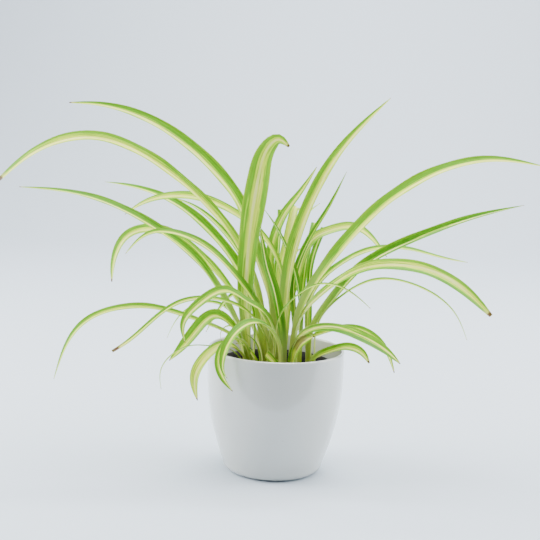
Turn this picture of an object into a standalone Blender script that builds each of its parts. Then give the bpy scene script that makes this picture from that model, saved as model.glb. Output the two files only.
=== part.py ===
"""Potted spider plant: a leafy plant in a nursery pot, standing in a glazed cover pot.

The origin is the middle of the cover pot's flat underside. +Z is up and -Y is the front.
Lengths are written in millimetres and turned into metres by MM.
"""

import math

import bmesh
import bpy
import numpy as np
from mathutils import Vector

MM = 0.001
GAP = 0.4                 # air between pieces that touch on the real plant

# Cover pot
POT_RADIUS = 70.0         # widest outer radius, also at the lip
POT_HEIGHT = 128.0
POT_WALL = 3.2
POT_FLOOR = 5.0
FOOT_RADIUS = 41.0        # flat underside
CORNER_HEIGHT = 9.0       # rounded corner between underside and side
TAPER = 21.7              # how far the side draws in towards the foot
TAPER_START = 100.0       # height below which the side draws in
TAPER_POWER = 1.9
INNER_CORNER = 5.0        # rounded corner between floor and inner side

# Nursery pot
NURSERY_WALL = 1.0
NURSERY_FOOT = 41.0       # outer radius at its base
NURSERY_MOUTH = 57.0      # outer radius under the rim
NURSERY_TOP = 113.0       # height of its rim above the table
RIM_WIDTH = 2.2
RIM_DEPTH = 6.0
DRAIN_HOLES = 8
DRAIN_RADIUS = 3.5
DRAIN_CIRCLE = 30.0
DRAIN_CUT = 8.0           # length of the tool that cuts a drain hole

# Soil and crowns
SOIL_TOP = 101.0
SOIL_EDGE = 3.0           # bevel round the soil's top
CROWN_HEIGHT = 9.0
CROWN_RADIUS = 4.4
CROWN_SHOULDER = 0.4      # share of its height that is straight
CROWN_NECK = (0.6, 0.85)  # shares of its radius and height where the rounded top breaks
CROWNS = {
    "left": (-20, -2),
    "front": (8, -10),
    "right": (29, 8),
    "rear": (-2, 20),
}

# Leaf section
LEAF_THICK = 1.1          # at the midrib; the edges are thin
STATIONS = 15
BASE_WIDTH = 0.34         # share of the greatest width at the base
TIP_WIDTH = 0.7
TIP_POWER = 2.4           # how late the blade narrows to its tip
FOLD_BASE = 38.0          # degrees that each half of the blade rises at the base
FOLD_TIP = 16.0           # and at the tip
ROLLED_BY = 0.4           # share of the length by which the blade has its full roll

# One row a leaf. Its base stands on the soil at seat degrees round its crown, ring mm out.
# It grows in the upright plane through the base that points along heading (degrees from +X
# towards +Y). The route gives reach and height above the base in mm, and a third number where
# the leaf strays sideways. Width is the blade's greatest, widest is where along the leaf, and
# turn rolls the blade's face towards the front.
# (name, crown, ring, seat, heading, route, width, widest, turn)
LEAVES = (
    ("leaf_left_highest", "rear", 8, 225, 172,
     ((0, 71), (19, 128), (35, 170), (65, 207), (124, 249), (190, 267), (220, 267)), 16, 0.45, 50),
    ("leaf_left_longest", "rear", 7, 185, 178,
     ((6, 50), (33, 126), (87, 186), (129, 215), (191, 234), (253, 213), (285, 185)), 15, 0.72, 40),
    ("leaf_left_low_arch", "left", 7, 150, 184,
     ((8, 34), (28, 72), (49, 104), (100, 146), (175, 177), (237, 182)), 14, 0.35, 35),
    ("leaf_left_inner", "rear", 12, 165, 163,
     ((8, 50), (29, 101), (53, 130), (104, 167), (168, 183), (187, 184)), 13, 0.4, 40),
    ("leaf_left_back_arch", "rear", 6, 330, 165,
     ((0, 60), (2, 103), (13, 127), (28, 144), (49, 158), (76, 170), (119, 175), (163, 161),
      (177, 151)), 12, 0.75, 40),
    ("leaf_left_slim", "rear", 12, 135, 156,
     ((8, 60), (33, 115), (59, 142), (97, 165), (118, 170)), 9, 0.4, 35),
    ("leaf_left_hanging", "rear", 12, 190, 187,
     ((27, 69), (70, 119), (114, 143), (142, 137), (157, 106), (158, 88)), 14, 0.78, 35),
    ("leaf_left_crossing", "front", 7, 178, 184,
     ((3, 30), (18, 65), (42, 98), (96, 140), (134, 141), (156, 120)), 12, 0.5, 35),
    ("leaf_left_curved_down", "front", 13, 205, 208,
     ((-1, 45), (15, 70), (29, 78), (54, 91), (84, 79), (100, 59), (97, 41)), 11, 0.65, 40),
    ("leaf_left_brown_tip", "front", 12, 176, 195,
     ((8, 39), (26, 64), (56, 78), (99, 75), (149, 36), (163, 27)), 7, 0.6, 35),
    ("leaf_left_small_arch", "left", 12, 138, 162,
     ((13, 50), (29, 65), (48, 67), (66, 60), (82, 44), (92, 24)), 5, 0.5, 30),
    ("leaf_left_small_fold", "left", 12, 108, 184,
     ((1, 52), (8, 74), (17, 80), (32, 70), (42, 54), (50, 38)), 6, 0.6, 30),
    ("leaf_left_low_long", "left", 12, 180, 188,
     ((6, 29), (41, 50), (107, 67), (166, 48), (193, -9)), 9, 0.62, 35),
    ("leaf_left_broad_fold", "left", 13, 203, 203,
     ((4, 30), (15, 50), (33, 62), (60, 40), (81, 17)), 14, 0.65, 45),
    ("leaf_left_thread", "left", 14, 212, 212,
     ((15, 25), (40, 32), (64, 34), (95, 12), (94, -7)), 3, 0.4, 0),
    ("leaf_front_left_broad", "left", 12, 228, 220,
     ((11, 24), (32, 34), (55, 24), (67, 7), (63, -19)), 13, 0.6, 25),
    ("leaf_front_arch", "front", 12, 250, 225,
     ((5, 39), (18, 54), (41, 62), (63, 55), (77, 37), (78, 19), (72, 10)), 11, 0.6, 20),
    ("leaf_front_hanging", "left", 12, 250, 238,
     ((8, 25), (30, 42), (50, 37, -3), (58, 22, -2), (58, 9, 3), (55, -4, 14)), 8, 0.7, 10),
    ("leaf_front_small", "left", 12, 268, 195,
     ((3, 21), (10, 30), (22, 33)), 4, 0.4, 20),
    ("leaf_front_green", "left", 7, 300, 215,
     ((4, 30), (18, 43)), 6, 0.4, 20),
    ("leaf_left_curl", "left", 12, 160, 172,
     ((7, 35), (18, 46), (27, 39), (26, 29)), 4, 0.4, 20),
    ("leaf_centre_widest", "left", 7, 200, 8,
     ((-3, 30), (-7, 74), (-5, 150), (2, 204), (9, 229), (20, 239), (31, 232)), 25, 0.72, 80),
    ("leaf_centre_behind", "right", 7, 195, 160,
     ((0, 73), (5, 99), (14, 122), (30, 150), (43, 166)), 7, 0.4, 30),
    ("leaf_centre_green", "front", 7, 250, 160,
     ((-1, 23), (3, 56), (12, 92), (19, 110), (25, 132), (30, 151)), 12, 0.45, 40),
    ("leaf_right_highest", "front", 7, 120, 25,
     ((1, 59), (5, 115), (20, 166), (56, 229), (114, 285)), 14, 0.4, 50),
    ("leaf_centre_back_tall", "rear", 12, 90, 35,
     ((-2, 50), (-8, 90), (-10, 119), (-4, 144), (7, 164), (24, 183), (45, 210)), 11, 0.5, 50),
    ("leaf_centre_back_blunt", "rear", 12, 122, 60,
     ((6, 60), (11, 108), (13, 141), (13, 165)), 6, 0.6, 0),
    ("leaf_centre_back_cream", "rear", 12, 75, 50,
     ((1, 60), (3, 108), (10, 132), (24, 167), (30, 158)), 12, 0.7, 15),
    ("leaf_right_back_tip", "rear", 12, 40, 40,
     ((-1, 60), (2, 105), (11, 139), (28, 163), (43, 172)), 5, 0.4, 30),
    ("leaf_right_narrow", "right", 12, 130, 35,
     ((-6, 63), (-8, 95), (0, 121), (14, 145), (29, 165), (55, 207)), 7, 0.3, 50),
    ("leaf_back_blunt_short", "right", 12, 110, 72,
     ((0, 60), (2, 100), (10, 120), (33, 152)), 7, 0.7, 0),
    ("leaf_back_blunt_second", "right", 12, 70, 60,
     ((0, 60), (-2, 111), (24, 148)), 7, 0.7, 12),
    ("leaf_right_back_arch", "rear", 12, 345, 25,
     ((2, 71), (10, 97), (16, 121), (26, 137), (45, 146), (76, 149), (107, 127), (117, 116)),
     11, 0.75, 55),
    ("leaf_right_back_drop", "rear", 12, 10, 25,
     ((2, 80), (7, 122), (13, 126), (16, 114), (15, 99)), 3, 0.4, 20),
    ("leaf_right_longest", "front", 7, 10, 0,
     ((2, 30), (6, 61), (21, 98), (43, 131), (69, 163), (133, 212), (190, 228), (243, 223)),
     16, 0.5, 45),
    ("leaf_right_second", "right", 7, 5, 8,
     ((1, 48), (14, 70), (44, 108), (106, 144), (160, 165), (219, 180)), 12, 0.4, 50),
    ("leaf_right_slim", "right", 7, 50, 25,
     ((-3, 52), (-2, 73), (13, 98), (32, 112), (52, 122), (104, 128), (160, 116), (193, 110)),
     8, 0.55, 35),
    ("leaf_right_drooping", "front", 13, -16, -22,
     ((3, 62), (20, 84), (59, 114), (110, 124), (159, 110), (193, 84)), 17, 0.72, 40),
    ("leaf_right_thin_arch", "right", 12, 15, -8,
     ((2, 52), (24, 81), (56, 100), (103, 96), (141, 70), (154, 44)), 5, 0.45, 25),
    ("leaf_right_thread", "front", 14, 225, -15,
     ((0, 46), (5, 66), (18, 83), (43, 99), (67, 97), (95, 79)), 4, 0.5, 25),
    ("leaf_right_low_front", "front", 12, -42, -30,
     ((5, 41), (29, 55), (74, 53), (107, 39), (117, 32)), 13, 0.68, 40),
    ("leaf_right_low_back", "front", 12, 15, -14,
     ((4, 30), (28, 47), (62, 54), (89, 39), (102, 12)), 9, 0.6, 40),
    ("leaf_right_over_rim", "right", 12, -70, -22,
     ((9, 20), (21, 27), (42, 34), (58, 29), (65, 20)), 12, 0.6, 40),
    ("leaf_right_dead_tip", "right", 12, -25, 5,
     ((-3, 16), (9, 23), (14, 28)), 5, 0.4, 20),
    ("leaf_right_scarred", "front", 12, -67, -30,
     ((3, 15), (12, 37), (28, 47)), 14, 0.6, 65),
    ("cut_leaf_left", "left", 12, 290, 225,
     ((5, 14), (14, 25)), 9, 0.5, 45),
    ("cut_leaf_right", "front", 16, 262, 200,
     ((5, 13), (17, 26)), 10, 0.5, 50),
)


def clear_scene():
    for leftover in list(bpy.data.objects):
        bpy.data.objects.remove(leftover, do_unlink=True)


def surface(name, colour, roughness):
    """A Principled BSDF with one colour."""
    made = bpy.data.materials.new(name)
    made.use_nodes = True
    shader = made.node_tree.nodes["Principled BSDF"]
    shader.inputs["Base Color"].default_value = (*colour, 1.0)
    shader.inputs["Roughness"].default_value = roughness
    shader.inputs["Metallic"].default_value = 0.0
    return made


def place(name, mesh, material):
    """Put a mesh in the scene as a smooth-shaded object."""
    mesh.materials.append(material)
    mesh.shade_smooth()
    mesh.set_sharp_from_angle(angle=math.radians(35))
    piece = bpy.data.objects.new(name, mesh)
    bpy.context.scene.collection.objects.link(piece)
    return piece


def turned(name, outline, segments, material):
    """Spin a closed outline of (radius, height) about the Z axis."""
    shape = bmesh.new()
    points = [shape.verts.new((r * MM, 0.0, z * MM)) for r, z in outline]
    edges = []
    for i, point in enumerate(points):
        following = points[(i + 1) % len(points)]
        if abs(point.co.x) > 1e-9 or abs(following.co.x) > 1e-9:
            edges.append(shape.edges.new((point, following)))
    bmesh.ops.spin(
        shape, geom=points + edges, cent=(0, 0, 0), axis=(0, 0, 1),
        angle=math.tau, steps=segments, use_merge=True)
    bmesh.ops.remove_doubles(shape, verts=shape.verts, dist=1e-6)
    bmesh.ops.recalc_face_normals(shape, faces=shape.faces)
    mesh = bpy.data.meshes.new(name)
    shape.to_mesh(mesh)
    shape.free()
    return place(name, mesh, material)


def pot_radius(height):
    """Outer radius of the cover pot's side at a height."""
    drop = max(0.0, 1.0 - height / TAPER_START)
    return POT_RADIUS - TAPER * drop ** TAPER_POWER


def corner(foot, rim, base, depth, steps):
    """A quarter-round corner from a flat disc up into a side."""
    points = []
    for i in range(steps + 1):
        angle = math.radians(90 * i / steps)
        points.append((foot + (rim - foot) * math.sin(angle), base + depth * (1 - math.cos(angle))))
    return points


def cover_pot():
    """Glazed pot: an outer side, a rounded lip, an inner side and a floor."""
    glaze = surface("white_glaze", (0.82, 0.84, 0.83), 0.15)
    outside = corner(FOOT_RADIUS, pot_radius(CORNER_HEIGHT), 0.0, CORNER_HEIGHT, 4)
    lip = POT_WALL / 2
    levels = np.linspace(CORNER_HEIGHT, POT_HEIGHT - lip, 10)[1:]
    outside += [(pot_radius(z), z) for z in levels]
    middle = POT_RADIUS - lip
    for angle in (45, 90, 135):
        turn = math.radians(angle)
        outside.append((middle + lip * math.cos(turn), POT_HEIGHT - lip + lip * math.sin(turn)))
    inside = [(pot_radius(z) - POT_WALL, z) for z in levels]
    knuckle = pot_radius(CORNER_HEIGHT) - POT_WALL
    inside = corner(FOOT_RADIUS, knuckle, POT_FLOOR, INNER_CORNER, 3) + inside
    outline = [(0, 0)] + outside + inside[::-1] + [(0, POT_FLOOR)]
    return turned("cover_pot", outline, 56, glaze)


def nursery_radius(height):
    """Outer radius of the nursery pot's tapered side at a height."""
    rise = (height - POT_FLOOR) / (NURSERY_TOP - POT_FLOOR)
    return NURSERY_FOOT + (NURSERY_MOUTH - NURSERY_FOOT) * rise


def cut_holes(piece, holes):
    """Subtract cylinders (x, y, radius) that pass through the piece's floor."""
    shape = bmesh.new()
    for x, y, radius in holes:
        made = bmesh.ops.create_cone(
            shape, cap_ends=True, segments=12, radius1=radius * MM, radius2=radius * MM,
            depth=DRAIN_CUT * MM)
        bmesh.ops.translate(shape, verts=made["verts"], vec=(x * MM, y * MM, POT_FLOOR * MM))
    mesh = bpy.data.meshes.new(piece.name + "_cutter")
    shape.to_mesh(mesh)
    shape.free()
    cutter = bpy.data.objects.new(piece.name + "_cutter", mesh)
    cutter.hide_render = True
    cutter.display_type = "WIRE"
    bpy.context.scene.collection.objects.link(cutter)
    cut = piece.modifiers.new("holes", "BOOLEAN")
    cut.operation = "DIFFERENCE"
    cut.object = cutter


def nursery_pot():
    """Thin growing pot with a turned-out rim and drain holes in its floor."""
    plastic = surface("nursery_plastic", (0.03, 0.032, 0.035), 0.4)
    base = POT_FLOOR + GAP
    mouth = nursery_radius(NURSERY_TOP - RIM_DEPTH)
    outline = [
        (0, base),
        (nursery_radius(base), base),
        (mouth, NURSERY_TOP - RIM_DEPTH),
        (mouth + RIM_WIDTH, NURSERY_TOP - RIM_DEPTH),
        (NURSERY_MOUTH + RIM_WIDTH, NURSERY_TOP),
        (NURSERY_MOUTH - NURSERY_WALL, NURSERY_TOP),
        (nursery_radius(base + NURSERY_WALL) - NURSERY_WALL, base + NURSERY_WALL),
        (0, base + NURSERY_WALL),
    ]
    pot = turned("nursery_pot", outline, 48, plastic)
    holes = []
    for i in range(DRAIN_HOLES):
        angle = math.tau * i / DRAIN_HOLES
        holes.append((DRAIN_CIRCLE * math.cos(angle), DRAIN_CIRCLE * math.sin(angle), DRAIN_RADIUS))
    cut_holes(pot, holes)
    return pot


def potting_soil():
    """Soil that fills the nursery pot up to SOIL_TOP."""
    peat = surface("dark_peat", (0.025, 0.018, 0.013), 0.95)
    base = POT_FLOOR + GAP + NURSERY_WALL + GAP
    inset = NURSERY_WALL + GAP
    outline = [
        (0, base),
        (nursery_radius(base) - inset - GAP, base),
        (nursery_radius(SOIL_TOP - SOIL_EDGE) - inset, SOIL_TOP - SOIL_EDGE),
        (nursery_radius(SOIL_TOP) - inset - SOIL_EDGE, SOIL_TOP),
        (0, SOIL_TOP),
    ]
    return turned("potting_soil", outline, 48, peat)


def crown(name, centre, material):
    """A short rounded stem that a bunch of leaves grows from."""
    base = SOIL_TOP + GAP
    outline = [
        (0, base),
        (CROWN_RADIUS, base),
        (CROWN_RADIUS, base + CROWN_HEIGHT * CROWN_SHOULDER),
        (CROWN_RADIUS * CROWN_NECK[0], base + CROWN_HEIGHT * CROWN_NECK[1]),
        (0, base + CROWN_HEIGHT),
    ]
    stem = turned("crown_" + name, outline, 16, material)
    stem.location = (centre[0] * MM, centre[1] * MM, 0.0)
    return stem


def smooth_route(points, start):
    """Slopes of a cubic spline through points: start fixes its first slope, its end is free."""
    points = np.asarray(points, dtype=float)
    steps = np.linalg.norm(np.diff(points, axis=0), axis=1)
    count = len(points)
    system = np.zeros((count, count))
    wanted = np.zeros_like(points)
    system[0, 0] = 1.0
    wanted[0] = start
    for i in range(1, count - 1):
        before = steps[i - 1]
        after = steps[i]
        system[i, i - 1:i + 2] = (after, 2 * (before + after), before)
        rise_before = (points[i] - points[i - 1]) / before
        rise_after = (points[i + 1] - points[i]) / after
        wanted[i] = 3 * (after * rise_before + before * rise_after)
    system[-1, -2:] = (1.0, 2.0)
    wanted[-1] = 3 * (points[-1] - points[-2]) / steps[-1]
    return points, steps, np.linalg.solve(system, wanted)


def along_route(points, steps, slopes, share):
    """Place and direction on the spline at a share (0 to 1) of its chord length."""
    reached = np.concatenate([[0.0], np.cumsum(steps)])
    distance = share * reached[-1]
    i = min(int(np.searchsorted(reached, distance, side="right")) - 1, len(steps) - 1)
    span = steps[i]
    u = (distance - reached[i]) / span
    a = points[i]
    b = points[i + 1]
    m = slopes[i] * span
    n = slopes[i + 1] * span
    place_at = ((2 * u**3 - 3 * u**2 + 1) * a + (u**3 - 2 * u**2 + u) * m
                + (3 * u**2 - 2 * u**3) * b + (u**3 - u**2) * n)
    heading = ((6 * u**2 - 6 * u) * a + (3 * u**2 - 4 * u + 1) * m
               + (6 * u - 6 * u**2) * b + (3 * u**2 - 2 * u) * n)
    return place_at, heading / np.linalg.norm(heading)


def ease(value):
    """Smooth step from 0 to 1."""
    value = min(1.0, max(0.0, value))
    return value * value * (3 - 2 * value)


def blade_width(share, width, widest, blunt):
    """Width of a blade: narrow at its base, widest part way along, pointed or cut at its tip."""
    if share < widest:
        return width * (BASE_WIDTH + (1 - BASE_WIDTH) * ease(share / widest))
    if blunt:
        return width
    beyond = (share - widest) / (1 - widest)
    return max(TIP_WIDTH, width * (1 - beyond ** TIP_POWER))


def leaf_points(base, heading, route):
    """The base and the route's stops in millimetres, in the shared frame."""
    ahead = np.array([math.cos(heading), math.sin(heading), 0.0])
    across = np.array([-math.sin(heading), math.cos(heading), 0.0])
    points = [base]
    for stop in route:
        aside = stop[2] if len(stop) > 2 else 0.0
        points.append(base + ahead * stop[0] + across * aside + np.array([0.0, 0.0, stop[1]]))
    return points, ahead, across


def section(middle, side, face, half, share):
    """Four corners of the V: one margin, the midrib's top, the other margin, the midrib's back."""
    fold = math.radians(FOLD_BASE + (FOLD_TIP - FOLD_BASE) * share)
    thick = LEAF_THICK * (1 - share / 2) / 2
    rise = half * math.sin(fold) / 2
    reach = half * math.cos(fold) * side
    return [
        middle + reach + rise * face, middle + face * (thick - rise),
        middle - reach + rise * face, middle - face * (thick + rise)]


def skin():
    """Triangles over the sections. Both surfaces are cut the same way, so they never cross."""
    faces = [(0, 3, 1), (1, 3, 2)]
    for i in range(STATIONS - 1):
        for j in range(4):
            a = 4 * i + j
            b = 4 * i + (j + 1) % 4
            if j % 2 == 0:
                faces += [(a, b, b + 4), (a, b + 4, a + 4)]
            else:
                faces += [(a, b, a + 4), (b, b + 4, a + 4)]
    last = 4 * (STATIONS - 1)
    return faces + [(last, last + 1, last + 3), (last + 1, last + 2, last + 3)]


def leaf(row, material):
    """A thin closed blade, V-shaped in section, along its route."""
    name, bunch, ring, seat, heading, route, width, widest, turn = row
    centre = CROWNS[bunch]
    seat = math.radians(seat)
    base = np.array([
        centre[0] + ring * math.cos(seat), centre[1] + ring * math.sin(seat), SOIL_TOP + GAP])
    points, ahead, across = leaf_points(base, math.radians(heading), route)
    spline = smooth_route(points, np.array([0.0, 0.0, 1.0]))
    blunt = "blunt" in name or name.startswith("cut")
    roll_way = 1.0 if ahead[0] > 0 else -1.0
    verts = []
    for i in range(STATIONS):
        share = i / (STATIONS - 1)
        middle, along = along_route(*spline, share)
        side = across - along * across.dot(along)
        side /= np.linalg.norm(side)
        face = np.cross(along, side)
        roll = math.radians(turn) * roll_way * ease(share / ROLLED_BY)
        rolled_side = side * math.cos(roll) + face * math.sin(roll)
        rolled_face = face * math.cos(roll) - side * math.sin(roll)
        half = blade_width(share, width, widest, blunt) / 2
        verts += section(middle, rolled_side, rolled_face, half, share)
    mesh = bpy.data.meshes.new(name)
    mesh.from_pydata([Vector(v) * MM for v in verts], [], skin())
    return place(name, mesh, material)


def build():
    clear_scene()
    cover_pot()
    nursery_pot()
    potting_soil()
    pale_stem = surface("crown_skin", (0.55, 0.6, 0.33), 0.6)
    for name, centre in CROWNS.items():
        crown(name, centre, pale_stem)
    green = surface("variegated_blade", (0.35, 0.55, 0.16), 0.45)
    for row in LEAVES:
        leaf(row, green)


build()
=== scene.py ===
import math

import bmesh
import bpy
import numpy as np
from mathutils import Matrix, Vector


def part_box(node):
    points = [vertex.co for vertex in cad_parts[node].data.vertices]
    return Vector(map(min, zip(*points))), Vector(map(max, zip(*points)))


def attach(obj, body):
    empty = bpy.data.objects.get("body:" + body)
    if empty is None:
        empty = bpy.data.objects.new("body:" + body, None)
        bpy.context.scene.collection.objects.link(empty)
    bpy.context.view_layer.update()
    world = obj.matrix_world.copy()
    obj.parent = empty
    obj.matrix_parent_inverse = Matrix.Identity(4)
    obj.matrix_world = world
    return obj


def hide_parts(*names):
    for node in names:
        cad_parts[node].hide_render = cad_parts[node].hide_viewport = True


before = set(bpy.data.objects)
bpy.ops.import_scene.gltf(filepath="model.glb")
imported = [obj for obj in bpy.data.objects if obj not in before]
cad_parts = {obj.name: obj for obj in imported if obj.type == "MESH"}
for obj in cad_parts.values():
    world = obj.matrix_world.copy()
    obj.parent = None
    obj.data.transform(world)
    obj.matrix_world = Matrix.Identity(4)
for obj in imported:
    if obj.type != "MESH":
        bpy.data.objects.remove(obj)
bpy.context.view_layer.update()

MM = 0.001

# ---------------------------------------------------------------------------------------------
# Cover pot: slip-cast earthenware with a white tin glaze, fired glossy. It has no drain hole,
# its lip is rounded by hand-sponging, and its side draws in to a flat, glazed underside.
# ---------------------------------------------------------------------------------------------


def linear(hex_colour):
    """An sRGB hex colour as linear RGBA."""
    channels = [int(hex_colour[i:i + 2], 16) / 255 for i in (1, 3, 5)]
    return (*[c / 12.92 if c <= 0.04045 else ((c + 0.055) / 1.055) ** 2.4 for c in channels], 1.0)


def node(material, kind, settings=None, **links):
    """Add a shader node: settings by attribute or socket name, links by socket name."""
    made = material.node_tree.nodes.new(kind)
    for name, value in (settings or {}).items():
        if isinstance(name, int) or name in made.inputs:
            made.inputs[name].default_value = value
        else:
            setattr(made, name, value)
    for name, source in links.items():
        socket = int(name[1:]) if name[0] == "_" else name.replace("_", " ")
        material.node_tree.links.new(source, made.inputs[socket])
    return made


def principled(name, **settings):
    """A new material and its Principled BSDF, with constants set on the shader's own sockets."""
    material = bpy.data.materials.new(name)
    material.use_nodes = True
    shader = material.node_tree.nodes["Principled BSDF"]
    for setting, value in settings.items():
        shader.inputs[setting.replace("_", " ")].default_value = value
    return material, shader


def join(material, source, shader, socket):
    material.node_tree.links.new(source, shader.inputs[socket])


def turned(name, outline, segments, crease=40):
    """Spin a closed outline of (radius, height) in mm about the Z axis, shaded smooth."""
    shape = bmesh.new()
    points = [shape.verts.new((r * MM, 0.0, z * MM)) for r, z in outline]
    edges = []
    for i, point in enumerate(points):
        following = points[(i + 1) % len(points)]
        if point.co.x > 1e-9 or following.co.x > 1e-9:
            edges.append(shape.edges.new((point, following)))
    bmesh.ops.spin(
        shape, geom=points + edges, cent=(0, 0, 0), axis=(0, 0, 1),
        angle=math.tau, steps=segments, use_merge=True)
    bmesh.ops.remove_doubles(shape, verts=shape.verts, dist=1e-6)
    bmesh.ops.recalc_face_normals(shape, faces=shape.faces)
    mesh = bpy.data.meshes.new(name)
    shape.to_mesh(mesh)
    shape.free()
    mesh.shade_smooth()
    mesh.set_sharp_from_angle(angle=math.radians(crease))
    return mesh


def piece(name, mesh, material, replaced):
    """Put a finished mesh in the scene in place of its CAD node."""
    made = bpy.data.objects.new(name, mesh)
    made.data.materials.append(material)
    bpy.context.scene.collection.objects.link(made)
    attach(made, "root")
    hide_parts(replaced)
    return made


pot_low, pot_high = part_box("cover_pot")
pot_radius = pot_high[0] / MM
pot_height = pot_high[2] / MM
POT_WALL = 3.2
POT_FLOOR = 5.0
FOOT_RADIUS = 41.0
CORNER_HEIGHT = 9.0
TAPER = 21.7              # how far the side draws in at the foot
TAPER_START = 100.0
TAPER_POWER = 1.9


def side_radius(height):
    drop = max(0.0, 1.0 - height / TAPER_START)
    return pot_radius - TAPER * drop ** TAPER_POWER


def quarter(foot, rim, base, depth, steps):
    """A quarter-round corner from a flat disc up into a side."""
    turns = [math.radians(90 * i / steps) for i in range(steps + 1)]
    return [(foot + (rim - foot) * math.sin(a), base + depth * (1 - math.cos(a))) for a in turns]


lip = POT_WALL / 2
levels = np.linspace(CORNER_HEIGHT, pot_height - lip, 36)[1:]
outside = quarter(FOOT_RADIUS, side_radius(CORNER_HEIGHT), 0.0, CORNER_HEIGHT, 12)
outside += [(side_radius(z), z) for z in levels]
for step in range(1, 12):
    turn = math.pi * step / 12
    outside.append((pot_radius - lip + lip * math.cos(turn), pot_height - lip + lip * math.sin(turn)))
knuckle = side_radius(CORNER_HEIGHT) - POT_WALL
inside = quarter(FOOT_RADIUS, knuckle, POT_FLOOR, CORNER_HEIGHT - 4, 8)
inside += [(side_radius(z) - POT_WALL, z) for z in levels]
pot_mesh = turned("glazed_pot", [(0, 0)] + outside + inside[::-1] + [(0, POT_FLOOR)], 160)

# White tin glaze over earthenware: a clear gloss coat on an opaque cool white, with the faint
# orange peel and pin-prick specks that a dipped glaze fires with. Specks are drawn 0.7 mm wide.
glaze, glaze_shader = principled(
    "white tin glaze, dipped", Roughness=0.3, IOR=1.52, Coat_Weight=1.0, Coat_Roughness=0.04)
glaze_place = node(glaze, "ShaderNodeTexCoord")
glaze_cloud = node(glaze, "ShaderNodeTexNoise", {"Scale": 22.0, "Detail": 3.0}, Vector=glaze_place.outputs["Object"])
glaze_tone = node(glaze, "ShaderNodeMix", {
    "data_type": "RGBA", 6: linear("#C3C4BF"), 7: linear("#C9CAC5")}, Factor=glaze_cloud.outputs["Fac"])
glaze_specks = node(glaze, "ShaderNodeTexVoronoi", {"Scale": 60.0}, Vector=glaze_place.outputs["Object"])
glaze_dot = node(glaze, "ShaderNodeMapRange", {
    "From Min": 0.02, "From Max": 0.045, "To Min": 0.82, "To Max": 1.0}, Value=glaze_specks.outputs["Distance"])
glaze_colour = node(glaze, "ShaderNodeMix", {
    "data_type": "RGBA", "blend_type": "MULTIPLY", "Factor": 1.0},
    _6=glaze_tone.outputs[2], _7=glaze_dot.outputs["Result"])
join(glaze, glaze_colour.outputs[2], glaze_shader, "Base Color")
glaze_peel = node(glaze, "ShaderNodeTexNoise", {"Scale": 240.0, "Detail": 1.0}, Vector=glaze_place.outputs["Object"])
glaze_bump = node(glaze, "ShaderNodeBump", {"Strength": 0.04, "Distance": 0.0004}, Height=glaze_peel.outputs["Fac"])
join(glaze, glaze_bump.outputs["Normal"], glaze_shader, "Normal")
piece("glazed_cover_pot", pot_mesh, glaze, "cover_pot")

# ---------------------------------------------------------------------------------------------
# Nursery pot: thermoformed polypropylene sheet, 0.6 mm thick, dark grey, with a turned-out rim
# that stiffens it; its floor is drawn whole, without its holes. It stands loose inside the cover pot.
# ---------------------------------------------------------------------------------------------

nursery_low, nursery_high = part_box("nursery_pot")
nursery_top = nursery_high[2] / MM
nursery_base = nursery_low[2] / MM
rim_radius = nursery_high[0] / MM
NURSERY_WALL = 1.0
RIM_WIDTH = 2.2
RIM_DEPTH = 6.0
NURSERY_FOOT = 41.0
mouth = rim_radius - RIM_WIDTH


def nursery_side(height):
    rise = (height - POT_FLOOR) / (nursery_top - POT_FLOOR)
    return NURSERY_FOOT + (mouth - NURSERY_FOOT) * rise


under_rim = nursery_top - RIM_DEPTH
nursery_outline = [(0, nursery_base), (nursery_side(nursery_base) - 1.5, nursery_base)]
nursery_outline += [(nursery_side(z), z) for z in np.linspace(nursery_base + 1.5, under_rim, 14)]
nursery_outline += [
    (nursery_side(under_rim) + RIM_WIDTH * 0.7, under_rim),
    (nursery_side(under_rim) + RIM_WIDTH, under_rim + 0.6),
    (rim_radius, nursery_top - 0.8),
    (rim_radius - 0.8, nursery_top),
    (mouth - NURSERY_WALL + 0.6, nursery_top),
    (mouth - NURSERY_WALL, nursery_top - 0.6),
]
nursery_outline += [
    (nursery_side(z) - NURSERY_WALL, z) for z in np.linspace(under_rim, nursery_base + 2.5, 14)]
nursery_outline += [(0, nursery_base + NURSERY_WALL)]
nursery_mesh = turned("nursery_pot_sheet", nursery_outline, 96)

# Polypropylene off a textured mould: a satin dark grey with a fine grain, drawn 0.8 mm coarse,
# and dusty streaks of dried soil round its inside.
plastic, plastic_shader = principled("polypropylene, thermoformed", IOR=1.49, Specular_IOR_Level=0.2)
plastic_place = node(plastic, "ShaderNodeTexCoord")
plastic_dust = node(plastic, "ShaderNodeTexNoise", {"Scale": 90.0, "Detail": 6.0}, Vector=plastic_place.outputs["Object"])
plastic_tone = node(plastic, "ShaderNodeValToRGB", {}, Fac=plastic_dust.outputs["Fac"])
plastic_tone.color_ramp.elements[0].position = 0.35
plastic_tone.color_ramp.elements[0].color = linear("#0C0C0E")
plastic_tone.color_ramp.elements[1].position = 0.75
plastic_tone.color_ramp.elements[1].color = linear("#24211E")
join(plastic, plastic_tone.outputs["Color"], plastic_shader, "Base Color")
plastic_rough = node(plastic, "ShaderNodeMapRange", {"To Min": 0.5, "To Max": 0.8}, Value=plastic_dust.outputs["Fac"])
join(plastic, plastic_rough.outputs["Result"], plastic_shader, "Roughness")
plastic_grain = node(plastic, "ShaderNodeTexNoise", {"Scale": 1200.0}, Vector=plastic_place.outputs["Object"])
plastic_bump = node(plastic, "ShaderNodeBump", {"Strength": 0.15, "Distance": 0.0002}, Height=plastic_grain.outputs["Fac"])
join(plastic, plastic_bump.outputs["Normal"], plastic_shader, "Normal")
piece("nursery_pot_sheet", nursery_mesh, plastic, "nursery_pot")

# ---------------------------------------------------------------------------------------------
# Potting soil: damp peat with shreds of composted bark, pressed in round the roots. Its top is
# uneven, with crumbs lying on it.
# ---------------------------------------------------------------------------------------------

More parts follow.
